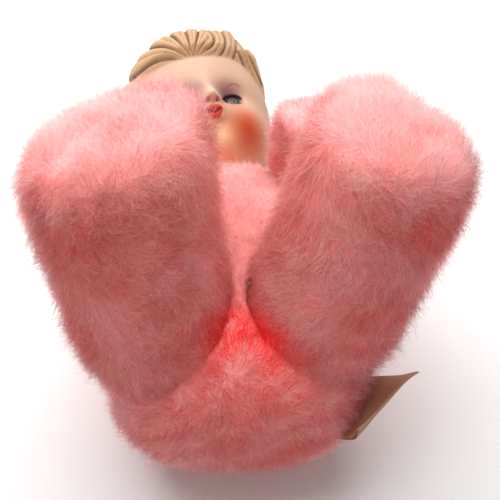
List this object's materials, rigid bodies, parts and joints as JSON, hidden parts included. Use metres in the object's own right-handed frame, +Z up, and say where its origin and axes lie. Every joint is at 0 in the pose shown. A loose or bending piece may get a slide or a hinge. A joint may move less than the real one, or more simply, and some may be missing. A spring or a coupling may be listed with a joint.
{
  "type": "plush doll",
  "caption": "Plush baby doll with a moulded vinyl head, stuffed long-pile body, stub arms and legs that swing at sewn joints, and a blank cloth tag.",
  "frame": {"origin": "middle of the flat on the torso's back on which the doll lies", "axes": "+X towards the doll's left, +Y from the seat to the crown, +Z up out of the belly as the doll lies on its back"},
  "size_m": [0.2332, 0.3294, 0.2272],
  "materials": {
    "plush": "long pink pile",
    "stuffing": "loose cotton filling",
    "vinyl_head": "soft vinyl, painted",
    "eye": "clear polished",
    "cord": "twisted cotton",
    "tag_cloth": "plain woven tape"
  },
  "bodies": {
    "torso": {"torso_front_panel": "plush", "torso_back_panel": "plush", "torso_stuffing": "stuffing"},
    "left_leg": {"left_leg_front_panel": "plush", "left_leg_back_panel": "plush", "left_sole": "plush", "left_leg_stuffing": "stuffing"},
    "right_leg": {"right_leg_front_panel": "plush", "right_leg_back_panel": "plush", "right_sole": "plush", "right_leg_stuffing": "stuffing"},
    "left_arm": {"left_arm_front_panel": "plush", "left_arm_back_panel": "plush", "left_arm_stuffing": "stuffing"},
    "right_arm": {"right_arm_front_panel": "plush", "right_arm_back_panel": "plush", "right_arm_stuffing": "stuffing"},
    "neck": {"neck_collar": "plush", "neck_tie": "cord"},
    "head": {"head_shell": "vinyl_head", "left_eye": "eye", "right_eye": "eye"},
    "tag": {"law_tag": "tag_cloth"}
  },
  "joints": [
    {"name": "left_hip", "type": "hinge", "parent": "torso", "child": "left_leg", "pos_m": [0.048, -0.008, 0.105], "axis": [1, 0, 0], "range_deg": [-4, 22], "stiffness_Nm_per_rad": 0.6},
    {"name": "right_hip", "type": "hinge", "parent": "torso", "child": "right_leg", "pos_m": [-0.048, -0.008, 0.105], "axis": [1, 0, 0], "range_deg": [-4, 22], "stiffness_Nm_per_rad": 0.6},
    {"name": "left_shoulder", "type": "hinge", "parent": "torso", "child": "left_arm", "pos_m": [0.0565, 0.101, 0.088], "axis": [0, 1, 0], "range_deg": [-4, 35], "stiffness_Nm_per_rad": 0.15},
    {"name": "right_shoulder", "type": "hinge", "parent": "torso", "child": "right_arm", "pos_m": [-0.0565, 0.101, 0.088], "axis": [0, -1, 0], "range_deg": [-4, 35], "stiffness_Nm_per_rad": 0.15},
    {"name": "neck_tilt", "type": "hinge", "parent": "torso", "child": "neck", "pos_m": [0, 0.095, 0.0533], "axis": [0, 0, 1], "range_deg": [-16, 1]},
    {"name": "neck_turn", "type": "hinge", "parent": "neck", "child": "head", "pos_m": [0, 0.095, 0.0533], "axis": [-0.1865, 0.9778, 0.0959], "range_deg": [-40, 40]},
    {"name": "tag_flap", "type": "hinge", "parent": "torso", "child": "tag", "pos_m": [0.06917, -0.052, 0.062], "axis": [0.5174, 0.8557, 0], "range_deg": [-20, 20], "stiffness_Nm_per_rad": 0.003}
  ]
}
